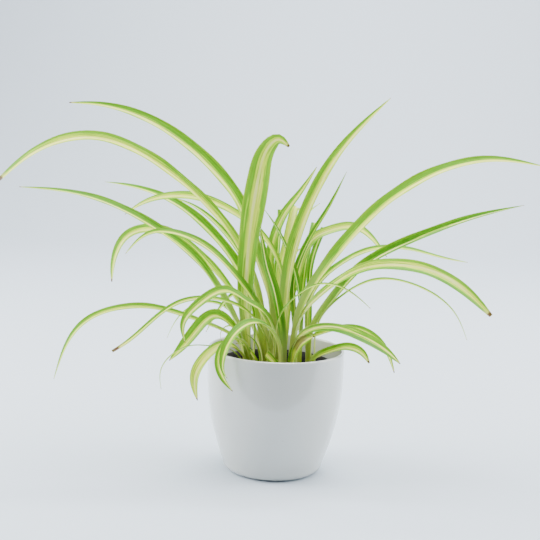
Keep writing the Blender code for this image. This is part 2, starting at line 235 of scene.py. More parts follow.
soil_low, soil_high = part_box("potting_soil")
soil_top = soil_high[2] / MM
soil_base = soil_low[2] / MM
soil_reach = nursery_side(soil_top) - NURSERY_WALL - 0.4
SOIL_RINGS = 34
SOIL_SPOKES = 120
CRUMBS = 260

random = np.random.default_rng(7)
waves = [(random.uniform(0.08, 0.5), random.uniform(0, math.tau), random.uniform(0, math.tau)) for _ in range(9)]


def lumps(x, y):
    """Uneven height of the soil in mm, never above 0."""
    total = 0.0
    for pitch, aim, shift in waves:
        total += math.sin((x * math.cos(aim) + y * math.sin(aim)) * pitch * 2 + shift)
    return -0.7 + 0.7 * total / len(waves)


soil = bmesh.new()
rings = []
for i in range(1, SOIL_RINGS + 1):
    radius = soil_reach * i / SOIL_RINGS
    ring = []
    for j in range(SOIL_SPOKES):
        angle = math.tau * j / SOIL_SPOKES
        x = radius * math.cos(angle)
        y = radius * math.sin(angle)
        ring.append(soil.verts.new((x * MM, y * MM, (soil_top + lumps(x, y)) * MM)))
    rings.append(ring)
for height in np.linspace(soil_top - 8, soil_base, 5):
    radius = nursery_side(height) - NURSERY_WALL - 0.6
    rings.append([soil.verts.new((
        radius * math.cos(math.tau * j / SOIL_SPOKES) * MM,
        radius * math.sin(math.tau * j / SOIL_SPOKES) * MM, height * MM)) for j in range(SOIL_SPOKES)])
for ring, wider in zip(rings, rings[1:]):
    for j in range(SOIL_SPOKES):
        k = (j + 1) % SOIL_SPOKES
        soil.faces.new((ring[j], wider[j], wider[k], ring[k]))
middle = soil.verts.new((0, 0, (soil_top + lumps(0, 0)) * MM))
for j in range(SOIL_SPOKES):
    soil.faces.new((middle, rings[0][j], rings[0][(j + 1) % SOIL_SPOKES]))
soil.faces.new(rings[-1][::-1])
for _ in range(CRUMBS):
    distance = soil_reach * math.sqrt(random.uniform(0, 0.9))
    angle = random.uniform(0, math.tau)
    size = random.uniform(0.6, 2.2)
    crumb = bmesh.ops.create_icosphere(soil, subdivisions=1, radius=size * MM)["verts"]
    stretch = random.uniform(0.5, 1.4, 3)
    for vert in crumb:
        vert.co.x *= stretch[0]
        vert.co.y *= stretch[1]
        vert.co.z *= stretch[2] * 0.7
    x = distance * math.cos(angle)
    y = distance * math.sin(angle)
    bmesh.ops.translate(soil, verts=crumb, vec=(x * MM, y * MM, (soil_top + lumps(x, y)) * MM))
bmesh.ops.recalc_face_normals(soil, faces=soil.faces)
soil_mesh = bpy.data.meshes.new("peat_and_bark")
soil.to_mesh(soil_mesh)
soil.free()

# Damp peat: near black, matt and crumbly, with brown bark shreds a few millimetres long.
peat, peat_shader = principled("peat and bark, damp", Roughness=0.92, IOR=1.4, Specular_IOR_Level=0.15)
peat_place = node(peat, "ShaderNodeTexCoord")
peat_grain = node(peat, "ShaderNodeTexNoise", {"Scale": 420.0, "Detail": 8.0, "Roughness": 0.7}, Vector=peat_place.outputs["Object"])
peat_tone = node(peat, "ShaderNodeValToRGB", {}, Fac=peat_grain.outputs["Fac"])
peat_tone.color_ramp.elements[0].position = 0.35
peat_tone.color_ramp.elements[0].color = linear("#0C0908")
peat_tone.color_ramp.elements[1].position = 0.78
peat_tone.color_ramp.elements[1].color = linear("#4A3626")
join(peat, peat_tone.outputs["Color"], peat_shader, "Base Color")
peat_bump = node(peat, "ShaderNodeBump", {"Strength": 0.9, "Distance": 0.001}, Height=peat_grain.outputs["Fac"])
join(peat, peat_bump.outputs["Normal"], peat_shader, "Normal")
piece("peat_and_bark", soil_mesh, peat, "potting_soil")

# ---------------------------------------------------------------------------------------------
# Crowns: the short fleshy stems that the leaves sprout from, wrapped in pale leaf bases. They
# root in the soil and hardly show between the leaves.
# ---------------------------------------------------------------------------------------------

# Fleshy leaf base: pale yellow-green, satin, with ribs along the stem 1 mm apart.
flesh, flesh_shader = principled(
    "leaf base, fleshy", Roughness=0.5, IOR=1.42, Subsurface_Weight=0.2, Subsurface_Scale=0.002)
flesh_place = node(flesh, "ShaderNodeTexCoord")
flesh_rib = node(flesh, "ShaderNodeMapping", {"Scale": (900.0, 900.0, 60.0)}, Vector=flesh_place.outputs["Object"])
flesh_noise = node(flesh, "ShaderNodeTexNoise", {"Scale": 1.0, "Detail": 2.0}, Vector=flesh_rib.outputs["Vector"])
flesh_tone = node(flesh, "ShaderNodeMix", {
    "data_type": "RGBA", 6: linear("#A9B468"), 7: linear("#D5D6A2")}, Factor=flesh_noise.outputs["Fac"])
join(flesh, flesh_tone.outputs[2], flesh_shader, "Base Color")
flesh_bump = node(flesh, "ShaderNodeBump", {"Strength": 0.3, "Distance": 0.0004}, Height=flesh_noise.outputs["Fac"])
join(flesh, flesh_bump.outputs["Normal"], flesh_shader, "Normal")

CROWN_HEIGHT = 9.0
CROWN_RIBS = 7
for bunch in ("left", "front", "right", "rear"):
    low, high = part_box("crown_" + bunch)
    centre_x = (low[0] + high[0]) / 2
    centre_y = (low[1] + high[1]) / 2
    radius = (high[0] - low[0]) / 2 / MM
    base = low[2] / MM
    stem_outline = [(0, base)]
    for i in range(13):
        share = i / 13
        stem_outline.append((radius * math.sqrt(max(0.0, 1 - share ** 2.2)), base + CROWN_HEIGHT * share))
    stem_outline.append((0, base + CROWN_HEIGHT))
    stem = turned("stem_" + bunch, stem_outline, 42)
    for vert in stem.vertices:
        around = math.atan2(vert.co.y, vert.co.x)
        swell = 0.94 + 0.06 * abs(math.cos(around * CROWN_RIBS / 2))
        vert.co.x = vert.co.x * swell + centre_x
        vert.co.y = vert.co.y * swell + centre_y
    piece("stem_" + bunch, stem, flesh, "crown_" + bunch)

# ---------------------------------------------------------------------------------------------
# Leaves: long strap-shaped blades that grow from the crowns in a rosette and arch over under
# their own weight. Each is channelled in section, cream along the middle, green at both margins.
# ---------------------------------------------------------------------------------------------

GAP = 0.4
BUNCHES = {"left": (-20, -2), "front": (8, -10), "right": (29, 8), "rear": (-2, 20)}

# One row a leaf. It stands on the soil at seat degrees round its crown, ring mm out, and grows
# in the upright plane that points along heading. The route gives reach, height and, where the
# leaf strays sideways, a third number, all in mm. Width is its greatest, widest is where along
# it, and turn rolls its face to the front.
# (name, crown, ring, seat, heading, route, width, widest, turn)
LEAVES = (
    ("leaf_left_highest", "rear", 8, 225, 172,
     ((0, 71), (19, 128), (35, 170), (65, 207), (124, 249), (190, 267), (220, 267)), 16, 0.45, 50),
    ("leaf_left_longest", "rear", 7, 185, 178,
     ((6, 50), (33, 126), (87, 186), (129, 215), (191, 234), (253, 213), (285, 185)), 15, 0.72, 40),
    ("leaf_left_low_arch", "left", 7, 150, 184,
     ((8, 34), (28, 72), (49, 104), (100, 146), (175, 177), (237, 182)), 14, 0.35, 35),
    ("leaf_left_inner", "rear", 12, 165, 163,
     ((8, 50), (29, 101), (53, 130), (104, 167), (168, 183), (187, 184)), 13, 0.4, 40),
    ("leaf_left_back_arch", "rear", 6, 330, 165,
     ((0, 60), (2, 103), (13, 127), (28, 144), (49, 158), (76, 170), (119, 175), (163, 161),
      (177, 151)), 12, 0.75, 40),
    ("leaf_left_slim", "rear", 12, 135, 156,
     ((8, 60), (33, 115), (59, 142), (97, 165), (118, 170)), 9, 0.4, 35),
    ("leaf_left_hanging", "rear", 12, 190, 187,
     ((27, 69), (70, 119), (114, 143), (142, 137), (157, 106), (158, 88)), 14, 0.78, 35),
    ("leaf_left_crossing", "front", 7, 178, 184,
     ((3, 30), (18, 65), (42, 98), (96, 140), (134, 141), (156, 120)), 12, 0.5, 35),
    ("leaf_left_curved_down", "front", 13, 205, 208,
     ((-1, 45), (15, 70), (29, 78), (54, 91), (84, 79), (100, 59), (97, 41)), 11, 0.65, 40),
    ("leaf_left_brown_tip", "front", 12, 176, 195,
     ((8, 39), (26, 64), (56, 78), (99, 75), (149, 36), (163, 27)), 7, 0.6, 35),
    ("leaf_left_small_arch", "left", 12, 138, 162,
     ((13, 50), (29, 65), (48, 67), (66, 60), (82, 44), (92, 24)), 5, 0.5, 30),
    ("leaf_left_small_fold", "left", 12, 108, 184,
     ((1, 52), (8, 74), (17, 80), (32, 70), (42, 54), (50, 38)), 6, 0.6, 30),
    ("leaf_left_low_long", "left", 12, 180, 188,
     ((6, 29), (41, 50), (107, 67), (166, 48), (193, -9)), 9, 0.62, 35),
    ("leaf_left_broad_fold", "left", 13, 203, 203,
     ((4, 30), (15, 50), (33, 62), (60, 40), (81, 17)), 14, 0.65, 45),
    ("leaf_left_thread", "left", 14, 212, 212,
     ((15, 25), (40, 32), (64, 34), (95, 12), (94, -7)), 3, 0.4, 0),
    ("leaf_front_left_broad", "left", 12, 228, 220,
     ((11, 24), (32, 34), (55, 24), (67, 7), (63, -19)), 13, 0.6, 25),
    ("leaf_front_arch", "front", 12, 250, 225,
     ((5, 39), (18, 54), (41, 62), (63, 55), (77, 37), (78, 19), (72, 10)), 11, 0.6, 20),
    ("leaf_front_hanging", "left", 12, 250, 238,
     ((8, 25), (30, 42), (50, 37, -3), (58, 22, -2), (58, 9, 3), (55, -4, 14)), 8, 0.7, 10),
    ("leaf_front_small", "left", 12, 268, 195,
     ((3, 21), (10, 30), (22, 33)), 4, 0.4, 20),
    ("leaf_front_green", "left", 7, 300, 215,
     ((4, 30), (18, 43)), 6, 0.4, 20),
    ("leaf_left_curl", "left", 12, 160, 172,
     ((7, 35), (18, 46), (27, 39), (26, 29)), 4, 0.4, 20),
    ("leaf_centre_widest", "left", 7, 200, 8,
     ((-3, 30), (-7, 74), (-5, 150), (2, 204), (9, 229), (20, 239), (31, 232)), 25, 0.72, 80),
    ("leaf_centre_behind", "right", 7, 195, 160,
     ((0, 73), (5, 99), (14, 122), (30, 150), (43, 166)), 7, 0.4, 30),
    ("leaf_centre_green", "front", 7, 250, 160,
     ((-1, 23), (3, 56), (12, 92), (19, 110), (25, 132), (30, 151)), 12, 0.45, 40),
    ("leaf_right_highest", "front", 7, 120, 25,
     ((1, 59), (5, 115), (20, 166), (56, 229), (114, 285)), 14, 0.4, 50),
    ("leaf_centre_back_tall", "rear", 12, 90, 35,
     ((-2, 50), (-8, 90), (-10, 119), (-4, 144), (7, 164), (24, 183), (45, 210)), 11, 0.5, 50),
    ("leaf_centre_back_blunt", "rear", 12, 122, 60,
     ((6, 60), (11, 108), (13, 141), (13, 165)), 6, 0.6, 0),
    ("leaf_centre_back_cream", "rear", 12, 75, 50,
     ((1, 60), (3, 108), (10, 132), (24, 167), (30, 158)), 12, 0.7, 15),
    ("leaf_right_back_tip", "rear", 12, 40, 40,
     ((-1, 60), (2, 105), (11, 139), (28, 163), (43, 172)), 5, 0.4, 30),
    ("leaf_right_narrow", "right", 12, 130, 35,
     ((-6, 63), (-8, 95), (0, 121), (14, 145), (29, 165), (55, 207)), 7, 0.3, 50),
    ("leaf_back_blunt_short", "right", 12, 110, 72,
     ((0, 60), (2, 100), (10, 120), (33, 152)), 7, 0.7, 0),
    ("leaf_back_blunt_second", "right", 12, 70, 60,
     ((0, 60), (-2, 111), (24, 148)), 7, 0.7, 12),
    ("leaf_right_back_arch", "rear", 12, 345, 25,
     ((2, 71), (10, 97), (16, 121), (26, 137), (45, 146), (76, 149), (107, 127), (117, 116)),
     11, 0.75, 55),
    ("leaf_right_back_drop", "rear", 12, 10, 25,
     ((2, 80), (7, 122), (13, 126), (16, 114), (15, 99)), 3, 0.4, 20),
    ("leaf_right_longest", "front", 7, 10, 0,
     ((2, 30), (6, 61), (21, 98), (43, 131), (69, 163), (133, 212), (190, 228), (243, 223)),
     16, 0.5, 45),
    ("leaf_right_second", "right", 7, 5, 8,
     ((1, 48), (14, 70), (44, 108), (106, 144), (160, 165), (219, 180)), 12, 0.4, 50),
    ("leaf_right_slim", "right", 7, 50, 25,
     ((-3, 52), (-2, 73), (13, 98), (32, 112), (52, 122), (104, 128), (160, 116), (193, 110)),
     8, 0.55, 35),
    ("leaf_right_drooping", "front", 13, -16, -22,
     ((3, 62), (20, 84), (59, 114), (110, 124), (159, 110), (193, 84)), 17, 0.72, 40),
    ("leaf_right_thin_arch", "right", 12, 15, -8,
     ((2, 52), (24, 81), (56, 100), (103, 96), (141, 70), (154, 44)), 5, 0.45, 25),
    ("leaf_right_thread", "front", 14, 225, -15,
     ((0, 46), (5, 66), (18, 83), (43, 99), (67, 97), (95, 79)), 4, 0.5, 25),
    ("leaf_right_low_front", "front", 12, -42, -30,
     ((5, 41), (29, 55), (74, 53), (107, 39), (117, 32)), 13, 0.68, 40),
    ("leaf_right_low_back", "front", 12, 15, -14,
     ((4, 30), (28, 47), (62, 54), (89, 39), (102, 12)), 9, 0.6, 40),
    ("leaf_right_over_rim", "right", 12, -70, -22,
     ((9, 20), (21, 27), (42, 34), (58, 29), (65, 20)), 12, 0.6, 40),
    ("leaf_right_dead_tip", "right", 12, -25, 5,
     ((-3, 16), (9, 23), (14, 28)), 5, 0.4, 20),
    ("leaf_right_scarred", "front", 12, -67, -30,
     ((3, 15), (12, 37), (28, 47)), 14, 0.6, 65),
    ("cut_leaf_left", "left", 12, 290, 225,
     ((5, 14), (14, 25)), 9, 0.5, 45),
    ("cut_leaf_right", "front", 16, 262, 200,
     ((5, 13), (17, 26)), 10, 0.5, 50),
)

# For the leaves that differ from the usual: cream share of the blade's width, length of the dry
# brown tip and width of the blade's end in mm, and how far the cream lies towards the lower margin.
MARKS = {
    "leaf_left_highest": (0.5, 4, 1.4, 0.4),
    "leaf_left_longest": (0.75, 6, 7.0, 0.25),
    "leaf_left_low_arch": (0.35, 3, 1.0, 0.3),
    "leaf_left_back_arch": (0.6, 3, 0.8, 0.0),
    "leaf_left_slim": (0.3, 2, 0.4, 0.2),
    "leaf_left_inner": (0.4, 2, 0.4, 0.4),
    "leaf_left_hanging": (0.55, 4, 2.0, 0.1),
    "leaf_left_brown_tip": (0.4, 9, 3.4, 0.0),
    "leaf_left_thread": (0.3, 3, 0.6, 0.0),
    "leaf_front_left_broad": (0.8, 3, 0.8, 0.0),
    "leaf_front_green": (0.3, 1, 0.4, 0.0),
    "leaf_centre_widest": (0.5, 3, 2.4, 0.05),
    "leaf_centre_green": (0.14, 1, 0.4, 0.0),
    "leaf_centre_back_cream": (1.4, 2, 2.0, 0.0),
    "leaf_centre_back_blunt": (0.2, 0.1, 6.0, 0.0),
    "leaf_back_blunt_short": (0.25, 0.1, 7.0, 0.0),
    "leaf_back_blunt_second": (0.2, 0.1, 7.0, 0.0),
    "leaf_centre_behind": (0.15, 1, 0.4, 0.0),
    "leaf_right_highest": (0.7, 2, 0.5, 0.45),
    "leaf_right_narrow": (0.2, 2, 0.4, 0.3),
    "leaf_right_back_arch": (0.6, 4, 0.8, 0.0),
    "leaf_right_back_drop": (0.4, 7, 1.8, 0.0),
    "leaf_right_drooping": (0.42, 5, 4.5, -0.25),
    "leaf_right_dead_tip": (0.2, 13, 3.0, 0.0),
    "leaf_right_longest": (0.65, 3, 0.8, 0.45),
    "leaf_right_second": (0.12, 3, 0.4, 0.3),
    "leaf_right_low_front": (0.25, 2, 0.8, -0.3),
    "leaf_right_low_back": (0.45, 3, 1.2, 0.0),
    "leaf_right_over_rim": (0.5, 3, 1.6, 0.1),
    "leaf_right_scarred": (0.5, 2, 0.8, 0.0),
    "cut_leaf_left": (0.7, 0.1, 9.0, 0.0),
    "cut_leaf_right": (0.6, 0.1, 10.0, 0.0),
}
USUAL_MARKS = (0.45, 2, 0.7, 0.15)
# Leaves that narrow to a stalk: share of the greatest width at the base.
STALKS = {"leaf_left_back_arch": 0.15, "leaf_left_brown_tip": 0.5, "leaf_right_drooping": 0.45,
          "leaf_right_low_back": 0.4, "leaf_front_left_broad": 0.4, "leaf_left_broad_fold": 0.5}

STATIONS = 64             # along a blade
HALF_POINTS = 6           # across each half of it
RIB_THICK = 0.5           # blade at its midrib, mm
MARGIN_THICK = 0.14
BASE_WIDTH = 0.8          # share of the greatest width at the base, and the most it can be in mm
BASE_LIMIT = 13.0
TIP_POWER = 2.4           # how late the blade narrows to its tip
FOLD_BASE = 38.0          # degrees that each half rises from the midrib at the base
FOLD_TIP = 16.0


def ease(value):
    """Smooth step from 0 to 1."""
    value = np.clip(value, 0.0, 1.0)
    return value * value * (3 - 2 * value)


def smooth_route(points, shares):
    """Places and directions on a cubic spline that starts straight up, at shares of its length."""
    steps = np.linalg.norm(np.diff(points, axis=0), axis=1)
    count = len(points)
    system = np.zeros((count, count))
    wanted = np.zeros_like(points)
    system[0, 0] = 1.0
    wanted[0] = (0.0, 0.0, 1.0)
    for i in range(1, count - 1):
        before, after = steps[i - 1], steps[i]
        system[i, i - 1:i + 2] = (after, 2 * (before + after), before)
        rise_before = (points[i] - points[i - 1]) / before
        rise_after = (points[i + 1] - points[i]) / after
        wanted[i] = 3 * (after * rise_before + before * rise_after)
    system[-1, -2:] = (1.0, 2.0)
    wanted[-1] = 3 * (points[-1] - points[-2]) / steps[-1]
    slopes = np.linalg.solve(system, wanted)
    reached = np.concatenate([[0.0], np.cumsum(steps)])
    distance = shares * reached[-1]
    at = np.minimum(np.searchsorted(reached, distance, side="right") - 1, count - 2)
    span = steps[at][:, None]
    u = (distance - reached[at])[:, None] / span
    a, b = points[at], points[at + 1]
    m, n = slopes[at] * span, slopes[at + 1] * span
    places = (2 * u**3 - 3 * u**2 + 1) * a + (u**3 - 2 * u**2 + u) * m
    places += (3 * u**2 - 2 * u**3) * b + (u**3 - u**2) * n
    ways = (6 * u**2 - 6 * u) * a + (3 * u**2 - 4 * u + 1) * m
    ways += (6 * u - 6 * u**2) * b + (3 * u**2 - 2 * u) * n
    return places, ways / np.linalg.norm(ways, axis=1)[:, None], reached[-1]


def blade_width(shares, width, widest, tip, stalk):
    """Narrow at the base, widest part way along, then narrowing to the width of its tip."""
    start = min(stalk, BASE_LIMIT / width)
    growing = width * (start + (1 - start) * ease(shares / widest))
    beyond = np.clip((shares - widest) / (1 - widest), 0.0, 1.0)
    narrowing = tip + (width - tip) * (1 - beyond ** TIP_POWER)
    return np.where(shares < widest, growing, narrowing)


def unit(vectors):
    return vectors / np.linalg.norm(vectors, axis=1)[:, None]


def blade(row, seed):
    """One leaf: a thin closed blade, channelled in section, with rippled margins."""
    name, bunch, ring, seat, heading, route, width, widest, turn = row
    chance = np.random.default_rng(seed)
    seat, way = math.radians(seat), math.radians(heading)
    crown_x, crown_y = BUNCHES[bunch]
    base = np.array([
        crown_x + ring * math.cos(seat), crown_y + ring * math.sin(seat), soil_top + GAP])
    ahead = np.array([math.cos(way), math.sin(way), 0.0])
    across = np.array([-math.sin(way), math.cos(way), 0.0])
    points = [base]
    for stop in route:
        aside = stop[2] if len(stop) > 2 else 0.0
        points.append(base + ahead * stop[0] + across * aside + np.array([0.0, 0.0, stop[1]]))
    shares = np.linspace(0.0, 1.0, STATIONS)
    middle, along, length = smooth_route(np.array(points), shares)
    side = unit(across - along * (along @ across)[:, None])
    face = np.cross(along, side)
    sway = chance.uniform(0, math.tau, 4)
    roll = math.radians(turn) * (1.0 if ahead[0] > 0 else -1.0) * (0.45 + 0.55 * ease(shares / 0.4))
    roll = (roll + 0.07 * shares * np.sin(shares * 7 + sway[0]))[:, None]
    side, face = side * np.cos(roll) + face * np.sin(roll), face * np.cos(roll) - side * np.sin(roll)
    cream, brown, tip, drift = MARKS.get(name, USUAL_MARKS)
    half = blade_width(shares, width, widest, tip, STALKS.get(name, BASE_WIDTH)) / 2
    half = half * (1 + 0.03 * np.sin(shares * length / 14 + sway[1]))
    fold = np.radians(FOLD_BASE + (FOLD_TIP - FOLD_BASE) * shares)
    rise = half * np.sin(fold) / 2
    ripple = 0.035 * width * np.sin(np.pi * np.clip(shares * 1.1, 0, 1))

    spread = np.linspace(-1.0, 1.0, 2 * HALF_POINTS + 1)
    upper = []
    lower = []
    for u in spread:
        channel = rise * (2 * abs(u) ** 1.35 - 1)
        wave = ripple * abs(u) ** 3 * np.sin(shares * length / 9 + sway[2 if u < 0 else 3])
        centre = middle + side * (half * np.cos(fold) * u)[:, None] + face * (channel + wave)[:, None]
        thick = MARGIN_THICK + (RIB_THICK * (1 - 0.5 * shares) - MARGIN_THICK) * (1 - abs(u)) ** 1.5
        upper.append(centre + face * (thick / 2)[:, None])
        lower.append(centre - face * (thick / 2)[:, None])
    loop = upper + lower[1:-1][::-1]
    across_of = list(spread) + list(spread[1:-1][::-1])
    count = len(loop)
    verts = np.stack(loop, axis=1).reshape(-1, 3) * MM
    faces = []
    for i in range(STATIONS - 1):
        for j in range(count):
            k = (j + 1) % count
            faces.append((i * count + j, i * count + k, (i + 1) * count + k, (i + 1) * count + j))
    faces = [face_loop[::-1] for face_loop in faces]
    last = (STATIONS - 1) * count
    faces.append(tuple(range(count)))
    faces.append(tuple(last + j for j in reversed(range(count))))
    mesh = bpy.data.meshes.new(name + "_blade")
    mesh.from_pydata(verts, [], faces)
    fixed = bmesh.new()
    fixed.from_mesh(mesh)
    bmesh.ops.recalc_face_normals(fixed, faces=fixed.faces)
    fixed.to_mesh(mesh)
    fixed.free()

    # What the leaf material reads: where a point is on the blade, and that leaf's own marks.
    station = np.repeat(shares, count)
    upward = np.tile(across_of, STATIONS) * (1 if ahead[0] > 0 else -1)
    where = np.stack([upward, station * length, station], axis=1)
    spot = mesh.attributes.new("blade", "FLOAT_VECTOR", "POINT")
    spot.data.foreach_set("vector", where.ravel())
    marks = mesh.attributes.new("marks", "FLOAT_VECTOR", "POINT")
    own = np.array([cream, brown / length, 10 * chance.integers(1, 9) + drift])
    marks.data.foreach_set("vector", np.tile(own, len(verts)))
    if name == "leaf_right_scarred":
        scar = mesh.attributes.new("scar", "FLOAT", "POINT")
        patch = np.clip(1.5 - np.abs(station - 0.68) / 0.2, 0, 1) * (where[:, 0] > -0.1)
        scar.data.foreach_set("value", patch)
    under = mesh.attributes.new("under", "FLOAT", "FACE")
    below = np.zeros(len(faces))
    below[:-2] = np.tile(np.arange(count) >= 2 * HALF_POINTS, STATIONS - 1)
    under.data.foreach_set("value", below)
    mesh.shade_smooth()
    mesh.set_sharp_from_angle(angle=math.radians(55))
    return mesh


# Variegated leaf: smooth and waxy, so it shows a soft sheen. Cream runs along the middle, then a
# lime band, then green margins, all drawn out in streaks. Fine veins run the whole length, the
# base is yellow-green, the very tip dries brown, and light glows through the thin blade.
leaf, leaf_shader = principled(
    "spider plant leaf, waxy", IOR=1.42, Specular_IOR_Level=0.3, Subsurface_Weight=0.3, Subsurface_Scale=0.0015,
    Subsurface_Radius=(0.7, 1.0, 0.25))
leaf_spot = node(leaf, "ShaderNodeAttribute", {"attribute_name": "blade"})
leaf_where = node(leaf, "ShaderNodeSeparateXYZ", {}, Vector=leaf_spot.outputs["Vector"])
leaf_own = node(leaf, "ShaderNodeAttribute", {"attribute_name": "marks"})
leaf_marks = node(leaf, "ShaderNodeSeparateXYZ", {}, Vector=leaf_own.outputs["Vector"])
leaf_under = node(leaf, "ShaderNodeAttribute", {"attribute_name": "under"})
drift = node(leaf, "ShaderNodeMath", {"operation": "WRAP", 1: 5.0, 2: -5.0}, _0=leaf_marks.outputs["Z"])
moved = node(leaf, "ShaderNodeMath", {"operation": "ADD"}, _0=leaf_where.outputs["X"], _1=drift.outputs[0])
lengthwise = node(leaf, "ShaderNodeMath", {"operation": "MULTIPLY", 1: 0.003}, _0=leaf_where.outputs["Y"])
grain_at = node(
    leaf, "ShaderNodeCombineXYZ", {},
    X=leaf_where.outputs["X"], Y=lengthwise.outputs[0], Z=leaf_marks.outputs["Z"])
streaks = node(leaf, "ShaderNodeTexNoise", {"Scale": 5.2, "Detail": 1.0}, Vector=grain_at.outputs[0])
veins = node(leaf, "ShaderNodeTexNoise", {"Scale": 14.0, "Detail": 2.0}, Vector=grain_at.outputs[0])
offset = node(leaf, "ShaderNodeMath", {"operation": "ABSOLUTE"}, _0=moved.outputs[0])
swayed = node(leaf, "ShaderNodeMath", {
    "operation": "MULTIPLY_ADD", 1: 0.9, 2: -0.45}, _0=streaks.outputs["Fac"])
streaked = node(leaf, "ShaderNodeMath", {"operation": "ADD"}, _0=offset.outputs[0], _1=swayed.outputs[0])
from_cream = node(leaf, "ShaderNodeMath", {"operation": "DIVIDE"}, _0=streaked.outputs[0], _1=leaf_marks.outputs["X"])
band = node(leaf, "ShaderNodeMath", {"operation": "MULTIPLY", 1: 0.4}, _0=from_cream.outputs[0])
bands = node(leaf, "ShaderNodeValToRGB", {}, Fac=band.outputs[0])
BANDS = (
    (0.03, "#F6FA94"), (0.12, "#EAF456"), (0.26, "#D2EA34"), (0.43, "#A4D226"), (0.46, "#66A216"),
    (0.66, "#5E9A10"), (0.95, "#3C7A08"))
stops = bands.color_ramp.elements
for place, colour in BANDS[:-2]:
    stops.new(place)
for stop, (place, colour) in zip(stops, BANDS):
    stop.position = place
    stop.color = linear(colour)
fine = node(leaf, "ShaderNodeMapRange", {
    "From Min": 0.3, "From Max": 0.7, "To Min": 0.86, "To Max": 1.08}, Value=veins.outputs["Fac"])
lines = node(leaf, "ShaderNodeTexNoise", {"Scale": 9.0, "Detail": 0.0}, Vector=grain_at.outputs[0])
pencil = node(leaf, "ShaderNodeMapRange", {
    "From Min": 0.56, "From Max": 0.59, "To Min": 0.0, "To Max": 0.8}, Value=lines.outputs["Fac"])
off_cream = node(leaf, "ShaderNodeMapRange", {"From Min": 0.12, "From Max": 0.22}, Value=band.outputs[0])
drawn = node(leaf, "ShaderNodeMath", {"operation": "MULTIPLY"}, _0=pencil.outputs["Result"], _1=off_cream.outputs["Result"])
edge = node(leaf, "ShaderNodeMath", {"operation": "ABSOLUTE"}, _0=leaf_where.outputs["X"])
margin = node(leaf, "ShaderNodeMapRange", {
    "From Min": 0.82, "From Max": 0.9, "To Min": 0.0, "To Max": 0.85}, Value=edge.outputs[0])
ruled = node(leaf, "ShaderNodeMath", {"operation": "MAXIMUM"}, _0=drawn.outputs[0], _1=margin.outputs["Result"])
blend = {"data_type": "RGBA"}
lined = node(leaf, "ShaderNodeMix", {**blend, 7: linear("#5C9A12")}, Factor=ruled.outputs[0], _6=bands.outputs["Color"])
body = node(leaf, "ShaderNodeMix", {**blend, "blend_type": "MULTIPLY", "Factor": 1.0},
            _6=lined.outputs[2], _7=fine.outputs["Result"])
foot = node(leaf, "ShaderNodeMapRange", {
    "From Min": 0.05, "From Max": 0.36, "To Min": 0.72, "To Max": 0.0}, Value=leaf_where.outputs["Z"])
rooted = node(leaf, "ShaderNodeMix", {**blend, 7: linear("#D4DC80")}, Factor=foot.outputs["Result"], _6=body.outputs[2])
paler = node(leaf, "ShaderNodeMath", {"operation": "MULTIPLY", 1: 0.35}, _0=leaf_under.outputs["Fac"])
faced = node(leaf, "ShaderNodeMix", {**blend, 7: linear("#C6DC78")}, Factor=paler.outputs[0], _6=rooted.outputs[2])
to_tip = node(leaf, "ShaderNodeMath", {"operation": "SUBTRACT", 0: 1.0}, _1=leaf_where.outputs["Z"])
frayed = node(leaf, "ShaderNodeMath", {"operation": "MULTIPLY_ADD", 1: 0.006}, _0=streaks.outputs["Fac"], _2=to_tip.outputs[0])
dry_ratio = node(leaf, "ShaderNodeMath", {"operation": "DIVIDE"}, _0=frayed.outputs[0], _1=leaf_marks.outputs["Y"])
yellowed = node(leaf, "ShaderNodeMapRange", {
    "From Min": 1.0, "From Max": 2.2, "To Min": 0.7, "To Max": 0.0}, Value=dry_ratio.outputs[0])
yellow = node(leaf, "ShaderNodeMix", {**blend, 7: linear("#C9C070")}, Factor=yellowed.outputs["Result"], _6=faced.outputs[2])
dried = node(leaf, "ShaderNodeMapRange", {
    "From Min": 0.8, "From Max": 1.1, "To Min": 1.0, "To Max": 0.0}, Value=dry_ratio.outputs[0])
tipped = node(leaf, "ShaderNodeMix", {**blend, 7: linear("#5A3822")}, Factor=dried.outputs["Result"], _6=yellow.outputs[2])
leaf_scar = node(leaf, "ShaderNodeAttribute", {"attribute_name": "scar"})
scabby = node(leaf, "ShaderNodeMath", {"operation": "MULTIPLY"}, _0=leaf_scar.outputs["Fac"], _1=veins.outputs["Fac"])
scab = node(leaf, "ShaderNodeMapRange", {
    "From Min": 0.3, "From Max": 0.45, "To Min": 0.0, "To Max": 0.85}, Value=scabby.outputs[0])
scarred = node(leaf, "ShaderNodeMix", {**blend, 7: linear("#9C7A5C")}, Factor=scab.outputs["Result"], _6=tipped.outputs[2])
join(leaf, scarred.outputs[2], leaf_shader, "Base Color")
sheen = node(leaf, "ShaderNodeMapRange", {"To Min": 0.36, "To Max": 0.54}, Value=veins.outputs["Fac"])
join(leaf, sheen.outputs["Result"], leaf_shader, "Roughness")
leaf_bump = node(leaf, "ShaderNodeBump", {"Strength": 0.35, "Distance": 0.0004}, Height=veins.outputs["Fac"])
join(leaf, leaf_bump.outputs["Normal"], leaf_shader, "Normal")

for index, row in enumerate(LEAVES):
    piece(row[0] + "_blade", blade(row, 100 + index), leaf, row[0])

# ---------------------------------------------------------------------------------------------
# Setting: a pale blue-grey paper sweep, floor and background in one, under soft studio light.
# ---------------------------------------------------------------------------------------------

